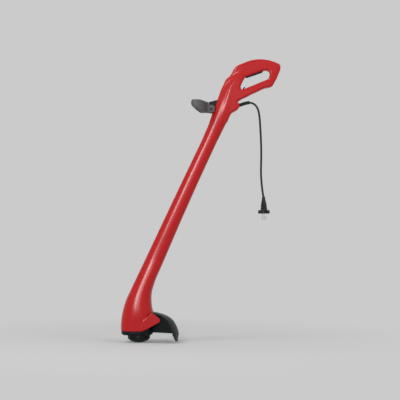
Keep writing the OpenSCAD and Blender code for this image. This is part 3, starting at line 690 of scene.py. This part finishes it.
seam_layers = [-0.6, 0.0, 0.3, 0.6, 1.0, 1.6, 2.4]
across = np.concatenate([seam_layers, steps(3.8, 48, 1.75)])
verts, faces = net(housing_half, steps(-62, 457, 1.8), across, steps(34, 908, 1.8))

SHAFT_SCREW_LEVELS = (205, 300, 400, 500, 600, 690)
SCREWS = [(-47, 72), (30, 162), (300, 812), (324, 858), (436, 876), (400, 823), (345, 798)]


def cad_lookup(table, z):
    return float(np.interp(z, *zip(*table)))


SCREWS += [((cad_lookup(FRONT, z) + cad_lookup(REAR, z)) / 2, z) for z in SHAFT_SCREW_LEVELS]


def screw_seat(z):
    if z > 790:
        return GRIP_HALF_W - 6
    return cad_lookup(HALF_W, z) * (0.62 if z < 100 else 0.9) - 6


cooling = [("box", (30, -17, z), (60, 17, z + 3)) for z in range(106, 142, 7)]
bore_dir = np.array([math.sin(math.radians(72)), 0, math.cos(math.radians(72))])
bore_at = np.array([316, 0, 755.5])
bore = [("rod", bore_at - bore_dir * 8, bore_at + bore_dir * 24, 5.8)]
pocket = [("rod", bore_at - bore_dir * 6, bore_at + bore_dir * 1.3, 7.7)]
bracket_seat = [("box", (215, -9.2, 731.8), (262.2, 9.2, 773.7))]
trigger_slot = [("box", (340, -8, 838), (397, 8, 869))]
screw_pockets = [("rod", (x, screw_seat(z), z), (x, 62, z), 4.1) for x, z in SCREWS]

right = piece("housing_half_right", verts, faces, "red_plastic")
left = piece("housing_half_left", verts * (1, -1, 1), faces[:, ::-1], "red_plastic")
carve(right, cooling + trigger_slot, bore, pocket, bracket_seat, screw_pockets)
carve(left, cooling + trigger_slot, bore, pocket, bracket_seat)
true_normals(right, housing_half)
true_normals(left, housing_half, side=-1)
place(right, "housing", ["right_housing"])
place(left, "housing", ["left_housing"])

# ------------------------------------------------------------------ guard

GUARD_T, GUARD_HALF = 2.5, math.radians(30)
PLATE_X = -5.5              # middle of the mounting plate and of the head's foot
SPOOL_ROOM_R, SPOOL_ROOM_TOP = 38.5, 34.4
HOOD = [
    (40, 96), (61, 94), (81, 88), (94, 82), (104, 75), (112, 67), (120, 53), (126, 38), (128, 24),
]
hood_pts = np.array(HOOD, float)
hood_dir = np.gradient(hood_pts, axis=0)
hood_dir /= np.linalg.norm(hood_dir, axis=1)[:, None]
hood_mid = hood_pts + GUARD_T / 2 * np.stack([hood_dir[:, 1], -hood_dir[:, 0]], 1)
hood_line = Outline(hood_mid, 1.5, closed=False)
wall_region = Outline([*hood_mid[:-1], (124.5, 33.5), (42, 33.5)], 0.8)
tooth_region = Outline([(-27, 34), (-24, 18), (-9, 5), (9, 4.5), (20, 12), (27, 34)], 1.0)
TOOTH_TURN = math.radians(-16)


def guard_field(x, y, z):
    r = np.hypot(x, y)
    beyond = np.abs(y) * math.cos(GUARD_HALF) - x * math.sin(GUARD_HALF)
    along = x * math.cos(GUARD_HALF) + np.abs(y) * math.sin(GUARD_HALF)
    hood = edged(hood_line(r, z) - GUARD_T / 2, beyond, 0.9)
    ribs = 0.0
    for at in (96, 103, 110):
        ribs = ribs + 0.7 * np.clip(1.6 - np.abs(along - at), 0, 1) * np.clip((z - 38) / 6, 0, 1)
    side = np.abs(beyond + GUARD_T / 2) - GUARD_T / 2 - ribs * (beyond > -1)
    wall = edged(side, wall_region(along, z), 0.8)
    wall = np.maximum(wall, 38 - along)
    bead = np.hypot(beyond + 1.2, z - 34.6) - 1.9
    bead = np.maximum(np.maximum(bead, along - 123), 44 - along)
    rim = np.hypot(r - 126.6, z - 25.6) - 1.6
    rim = np.maximum(rim, beyond + 1.2)
    u = x * math.cos(TOOTH_TURN) + y * math.sin(TOOTH_TURN)
    v = -x * math.sin(TOOTH_TURN) + y * math.cos(TOOTH_TURN)
    tooth = edged(tooth_region(v, z), np.abs(r - 126.4) - 1.15, 0.8)
    tooth = np.maximum(tooth, -u)
    plate = superellipse(x, y, PLATE_X, 50.5, 43.0)
    base = edged(plate, np.abs(z - 31.9) - 4.9, 1.2)
    lower = edged(superellipse(x, y, PLATE_X, 47.0, 40.0), np.abs(z - 27) - 3, 1.2)
    base = join(base, lower, 1.5)
    room = np.maximum(r - SPOOL_ROOM_R, z - SPOOL_ROOM_TOP)
    base = np.maximum(base, -room)
    base = np.maximum(base, 12 - r)
    cover = join(join(hood, wall, 1.8), join(bead, rim, 1.0), 1.2)
    neck = np.maximum(superellipse(x, y, PLATE_X, 52.3, 46.4), 36.9 - z)
    cover = np.maximum(cover, -neck)
    edge = np.interp(x, *zip(*REAR_EDGE)) - 0.3
    collar = edged(np.abs(superellipse(x, y, PLATE_X, 49.6, 43.8)) - 1.3, z - edge, 0.5)
    cover = np.minimum(cover, np.maximum(np.maximum(collar, 6 - x), 30 - z))
    return np.maximum(join(join(cover, base, 2.0), tooth, 1.5), -room)


moulding("guard_moulding", guard_field, steps(-58, 131, 1.25), steps(-68, 68, 1.25),
         steps(2, 100, 1.25), "housing", "black_plastic", "guard")

# ------------------------------------------------------------------ spool head


def fluted(count, depth, low, high):
    """Shallow finger flutes between two heights."""
    def ripple(angle, r, z):
        band = np.clip((z - low) / 2, 0, 1) * np.clip((high - z) / 2, 0, 1) * (r > 30)
        return -depth * band * np.clip(np.cos(count * angle) * 2, 0, 1)
    return ripple


HOUSING_PROFILE = [
    (6, 11), (6, 30.5), (33.4, 30.5), (33.4, 15), (35.2, 15), (35.6, 15.4), (35.6, 17), (35.6, 19),
    (35.6, 24), (35.6, 27), (35.4, 29.5), (34.2, 31.6), (32.6, 32.8), (30, 33), (10, 33), (3.1, 33),
    (3.1, 11),
]
COVER_PROFILE = [
    (17.5, 2.2), (19, 2.3), (22, 3.0), (25.5, 4.5), (28, 6), (30.8, 7.8), (33, 9.7), (34.8, 11.8),
    (35.7, 13.4), (35.9, 14.2), (35.7, 15), (33.2, 15), (33.2, 18), (31.6, 18), (31.6, 13.5),
    (27, 8.6), (21.5, 5.8), (17.5, 5),
]
KNOB_PROFILE = [
    (0.01, 0.9), (5, 0.9), (6, 0.25), (9, 0.05), (10, 0.6), (11, 0.6), (12, 0.05), (14, 0.1),
    (16.1, 1.2), (16.9, 2.6), (17, 6), (17, 10), (28, 10), (28, 11.5), (13.5, 11.5), (13.5, 22.5),
    (28, 22.5), (28, 24), (11.2, 24), (11.2, 17), (6.05, 17), (6.05, 12), (8, 12), (8, 2.8),
    (0.01, 2.8),
]


def notched(angle, r, z):
    """Notches round the cover's slope."""
    return -0.5 * (r > 24) * (z < 12) * (z > 4) * np.clip(np.cos(18 * angle) * 3 - 1.4, 0, 1)


spool = lathe("spool_housing_turned", HOUSING_PROFILE, "black_plastic",
              ripple=fluted(24, 0.7, 16.5, 30))
cover = lathe("spool_cover_turned", COVER_PROFILE, "black_plastic", sides=144,
              ripple=notched)
knob = lathe("bump_knob_reel", KNOB_PROFILE, "worn_black_plastic", sides=96)
for made, body, slot, node in ((spool, "spool_head", "black_plastic", "spool_housing"),
                               (cover, "spool_head", "black_plastic", "spool_cover"),
                               (knob, "line_reel", "worn_black_plastic", "line_reel")):
    mark_sharp(made, 40)
    place(made, body, [node])

# ------------------------------------------------------------------ front handle

BOW_SIDE = [(165, 764), (170, 773), (194, 773), (222, 767), (222, 733), (196, 736), (171.5, 756)]
BOW = [
    (165, 50), (168, 58), (176, 63), (192, 62), (204, 53), (212, 38), (216.5, 24), (218.5, 18),
    (246, 18),
]
BOW_GAP = [(183, 49), (190, 51), (198, 45), (203.5, 34), (206, 20)]


def both_sides(half):
    return [*half, *[(x, -y) for x, y in reversed(half)]]


GROOVE = 0.45               # depth of the bow's grip rings and seam
bow_side = Outline(BOW_SIDE, 1.6)
bow_top, bow_gap = Outline(both_sides(BOW), 3.0), Outline(both_sides(BOW_GAP), 2.0)


def bow_field(x, y, z):
    lug = at_pivot(x, z, 13.5)
    side = join(bow_side(x, z), lug, 4.0)
    form = edged(side, bow_top(x, y), 5.0)
    form = edged(form, -bow_gap(x, y), 4.0)
    centre = np.maximum(np.abs(y) - 9.4, 205 - x)
    form = edged(form, -centre, 1.0)
    grip = np.abs(np.abs(y) - 30) - 26
    rings = GROOVE * np.clip(np.cos(2 * np.pi * y / 6.0) * 2 - 0.9, 0, 1)
    rings = rings * (x < 196) * np.clip(-grip, 0, 1)
    seam = GROOVE * np.clip(1 - np.abs(x - 190 - 0.55 * (z - 752)) / 0.9, 0, 1)
    form = form + rings * (z < 770) + seam
    return np.maximum(form, PIVOT_HOLE_R - at_pivot(x, z, 0))


moulding("front_bow_handle", bow_field, steps(160, 250, 1.1), steps(-67, 67, 1.1),
         steps(728, 777, 1.1), "front_handle", "grey_plastic", "front_handle")

BRACKET = [(223, 757), (223, 767), (248, 773.5), (262, 773.5), (262, 732), (238, 732), (231, 732.6)]
bracket_side = Outline(BRACKET, 0.8)


def bracket_field(x, y, z):
    side = join(bracket_side(x, z), at_pivot(x, z, 12.4), 2.0)
    teeth = 0.35 * np.cos(24 * np.arctan2(z - PIVOT[1], x - PIVOT[0]))
    teeth = teeth * (np.abs(at_pivot(x, z, 8.5)) < 2.5)
    form = edged(side, np.abs(y) - 8.6 - teeth, 0.8)
    return np.maximum(form, PIVOT_HOLE_R - at_pivot(x, z, 0))


moulding("handle_bracket_block", bracket_field, steps(216, 264, 0.9), steps(-11, 11, 0.9),
         steps(730, 776, 0.9), "housing", "black_plastic", "handle_bracket")

KNOB_R = 11.5


def clamp_field(x, y, z):
    angle = np.arctan2(z - PIVOT[1], x - PIVOT[0])
    lobed = KNOB_R - 1.3 + 1.3 * np.cos(6 * angle)
    d = (at_pivot(x, z, 0) - lobed) * 0.92
    form = edged(d, np.abs(y - 26.3) - 5.6, 2.2)
    hub = edged(at_pivot(x, z, 9.8), np.abs(y - 20) - 1.6, 0.5)
    dish = np.hypot(np.hypot(x - PIVOT[0], z - PIVOT[1]) * 0.55, y - 38) - 7.2
    form = meet(join(form, hub, 1.0), -dish, 1.0)
    return np.maximum(form, np.minimum(3.05 - at_pivot(x, z, 0), 30.5 - y))


moulding("clamp_knob_lobed", clamp_field, steps(216, 246, 0.8), steps(16.5, 34, 0.8),
         steps(730, 760, 0.8), "clamp_knob", "black_plastic", "clamp_knob")

# ------------------------------------------------------------------ trigger and cord hook

TRIGGER = [
    (341, 847), (343.5, 844), (368, 852.2), (394, 861.5), (397, 865), (393, 873), (350, 864),
    (341, 862),
]
trigger_side = Outline(TRIGGER, 1.0)
TRIGGER_PIN = (346, 858)
TRIGGER_PIN_HOLE_R = 1.6


def trigger_field(x, y, z):
    lever = edged(trigger_side(x, z), np.abs(y) - 7.4, 1.8)
    return np.maximum(lever, TRIGGER_PIN_HOLE_R - rod(x, z, *TRIGGER_PIN, 0))


moulding("trigger_lever", trigger_field, steps(337, 400, 0.9), steps(-9, 9, 0.9),
         steps(841, 876, 0.9), "trigger", "black_plastic", "trigger")

HOOK = [
    (331, 805.6), (333, 812), (336, 815.5), (341, 815), (340.5, 812.6), (337, 812.3), (336, 808),
]
hook_side = Outline(HOOK, 0.5)


def hook_field(x, y, z):
    return edged(hook_side(x, z), np.abs(y) - 3.9, 0.8)


moulding("cord_hook_moulded", hook_field, steps(328, 344, 0.6), steps(-6, 6, 0.6),
         steps(803, 818, 0.6), "housing", "black_plastic", "cord_hook")

# ------------------------------------------------------------------ carried-over CAD nodes

for part in frame["record"]["subparts"]:
    obj = frame["nodes"][part["node"]]
    for slot in obj.material_slots:
        slot.material = MATERIALS[part["material_slot"]]

# small turned and stamped parts get their edges broken
for name in ("housing_screws", "handle_bolt", "guard_screws", "cutter_screw", "line_cutter",
             "line_eyelets", "drive_nut"):
    bevel = frame["nodes"][name].modifiers.new("edge", "BEVEL")
    bevel.width = 0.15 * MM
    bevel.segments = 2
    bevel.limit_method = "ANGLE"
    bevel.angle_limit = math.radians(40)

# ------------------------------------------------------------------ stage and light

BACKDROP = (0.597, 0.597, 0.597, 1)  # plain pale grey behind the object


def floor_material():
    m = bpy.data.materials.new("studio_floor")
    m.use_nodes = True
    nodes, link = m.node_tree.nodes, m.node_tree.links.new
    nodes.remove(nodes["Principled BSDF"])
    near = nodes.new("ShaderNodeBsdfDiffuse")
    near.inputs["Color"].default_value = (0.55, 0.55, 0.55, 1)
    far = nodes.new("ShaderNodeEmission")
    far.inputs["Color"].default_value = BACKDROP
    coord = nodes.new("ShaderNodeTexCoord")
    length = nodes.new("ShaderNodeVectorMath")
    length.operation = "LENGTH"
    fade = nodes.new("ShaderNodeMapRange")
    fade.interpolation_type = "SMOOTHSTEP"
    fade.inputs["From Min"].default_value = 0.15
    fade.inputs["From Max"].default_value = 1.1
    fade.inputs["To Min"].default_value = 0.25
    mix = nodes.new("ShaderNodeMixShader")
    link(coord.outputs["Object"], length.inputs[0])
    link(length.outputs["Value"], fade.inputs["Value"])
    link(fade.outputs["Result"], mix.inputs["Fac"])
    link(near.outputs["BSDF"], mix.inputs[1])
    link(far.outputs["Emission"], mix.inputs[2])
    link(mix.outputs["Shader"], nodes["Material Output"].inputs["Surface"])
    return m


floor_mesh = bpy.data.meshes.new("floor")
bm = bmesh.new()
bmesh.ops.create_circle(bm, cap_ends=True, radius=40.0, segments=64)
bm.to_mesh(floor_mesh)
bm.free()
floor_mesh.materials.append(floor_material())
floor = bpy.data.objects.new("floor", floor_mesh)
floor.location = GROUND + (0.03, 0, -0.0004)
bpy.context.scene.collection.objects.link(floor)

world = bpy.data.worlds.new("studio")
bpy.context.scene.world = world
world.use_nodes = True
world.node_tree.nodes["Background"].inputs["Color"].default_value = BACKDROP
bpy.context.scene.view_settings.view_transform = "Standard"


def area_light(name, at, towards, size, watts, turn=0.0):
    data = bpy.data.lights.new(name, "AREA")
    data.shape = "RECTANGLE"
    data.size, data.size_y = size
    data.energy = watts
    obj = bpy.data.objects.new(name, data)
    obj.location = at
    quat = (Vector(towards) - Vector(at)).to_track_quat("-Z", "Y")
    obj.rotation_mode = "QUATERNION"
    obj.rotation_quaternion = quat
    if turn:
        spin = (Vector(towards) - Vector(at)).normalized()
        obj.rotation_quaternion = Quaternion(spin, turn) @ quat
    bpy.context.scene.collection.objects.link(obj)
    return obj


shaft_middle = metres((120, 0, 480))


def around(azimuth, elevation, away, centre=shaft_middle):
    """A point round the object: azimuth 0 is the camera's side, positive to the right."""
    a, e = math.radians(azimuth), math.radians(elevation)
    out = np.array([math.sin(a) * math.cos(e), -math.cos(a) * math.cos(e), math.sin(e)])
    return centre + away * out


area_light("strip", around(-11.5, 9.5, 3.2), shaft_middle, (0.50, 0.74), 36, math.radians(-24))
area_light("key", around(-55, 48, 3.0), shaft_middle, (1.2, 1.2), 34)
area_light("fill", around(58, 40, 3.2), shaft_middle, (1.4, 1.4), 20)
